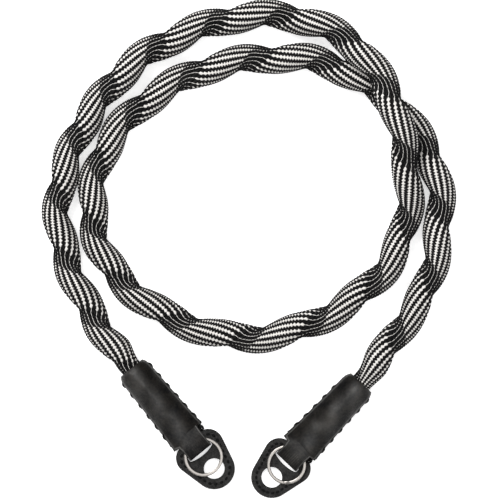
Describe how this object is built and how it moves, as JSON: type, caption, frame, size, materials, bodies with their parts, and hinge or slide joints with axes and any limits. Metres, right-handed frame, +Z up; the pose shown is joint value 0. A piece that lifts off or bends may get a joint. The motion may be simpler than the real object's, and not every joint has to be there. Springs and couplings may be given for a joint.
{
  "type": "camera neck strap",
  "caption": "Camera neck strap of thick twisted black and white rope, lying in a spiral, with laced leather sleeves, split rings and leather ring guards at its ends.",
  "frame": {"origin": "on the surface it lies on, below the middle of the box round the two leather ends with their rings", "axes": "+Z up from the surface; +X from the left end to the right end; +Y from the ends towards the far side of the rope's spiral"},
  "size_m": [0.1901, 0.2295, 0.0274],
  "materials": {
    "rope": "knitted yarn, black and warm white",
    "sleeve_leather": "smooth, soft sheen",
    "guard_leather": "matt, fine nap",
    "ring_steel": "polished nickel"
  },
  "bodies": {
    "root": {"rope": "rope", "left_sleeve": "sleeve_leather", "right_sleeve": "sleeve_leather", "left_guard": "guard_leather", "right_guard": "guard_leather", "left_ring": "ring_steel", "right_ring": "ring_steel"}
  },
  "joints": []
}
